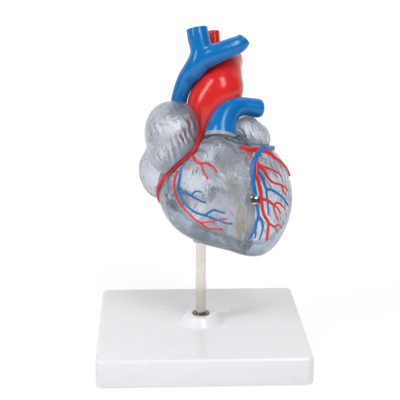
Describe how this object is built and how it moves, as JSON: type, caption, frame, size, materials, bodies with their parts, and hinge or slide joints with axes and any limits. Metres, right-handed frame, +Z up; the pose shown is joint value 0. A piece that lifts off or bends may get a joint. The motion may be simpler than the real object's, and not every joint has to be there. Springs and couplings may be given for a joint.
{
  "type": "human heart anatomy model",
  "caption": "Clear two-part model of the human heart with red and blue vessels and a lift-off front wall held by magnets, on a steel rod and a square white base.",
  "frame": {"origin": "middle of the base's footprint, on the surface that it stands on", "axes": "+Z up, +X to the right of someone who faces the heart's front, +Y away from them"},
  "size_m": [0.12, 0.12, 0.1897],
  "materials": {
    "base_plastic": "glossy white",
    "foot_rubber": "matt",
    "bush_steel": "dark, turned",
    "rod_steel": "polished",
    "magnet_nickel": "polished nickel",
    "clear_plastic": "clear, lightly frosted",
    "blue_plastic": "glossy blue",
    "red_plastic": "glossy red",
    "yellow_plastic": "glossy yellow"
  },
  "bodies": {
    "base": {"base_plate": "base_plastic", "rubber_feet": "foot_rubber", "base_bush": "bush_steel"},
    "rod": {"stand_rod": "rod_steel"},
    "heart": {"rod_socket": "clear_plastic", "ventricle_shell": "clear_plastic", "right_atrium": "clear_plastic", "left_atrium": "clear_plastic", "septum": "clear_plastic", "septum_magnet": "magnet_nickel", "locating_pins": "rod_steel", "vena_cava_superior": "blue_plastic", "vena_cava_inferior": "blue_plastic", "aorta": "red_plastic", "pulmonary_trunk": "blue_plastic", "trunk_collar": "clear_plastic", "pulmonary_veins": "red_plastic", "tricuspid_valve": "clear_plastic", "mitral_valve": "clear_plastic", "aortic_valve": "clear_plastic", "pulmonary_valve": "clear_plastic", "papillary_muscles": "clear_plastic", "sinus_node": "yellow_plastic", "av_bundle": "yellow_plastic", "right_bundle_branch": "yellow_plastic", "left_bundle_branch": "yellow_plastic", "right_coronary_artery": "red_plastic", "rear_coronary_arteries": "red_plastic", "rear_cardiac_veins": "blue_plastic"},
    "front_wall": {"front_wall": "clear_plastic", "front_magnet": "magnet_nickel", "marginal_artery": "red_plastic", "left_coronary_artery": "red_plastic", "great_cardiac_vein": "blue_plastic", "small_cardiac_vein": "blue_plastic"}
  },
  "joints": [
    {"name": "rod_turn", "type": "hinge", "parent": "base", "child": "rod", "pos_m": [0, 0, 0.02], "axis": [0, 0, 1], "continuous": true},
    {"name": "heart_lift", "type": "slide", "parent": "rod", "child": "heart", "axis": [0, 0, 1], "range_m": [0, 0.03]},
    {"name": "front_wall_pull", "type": "slide", "parent": "heart", "child": "front_wall", "axis": [0, -0.9659, 0.2588], "range_m": [0, 0.06]}
  ]
}
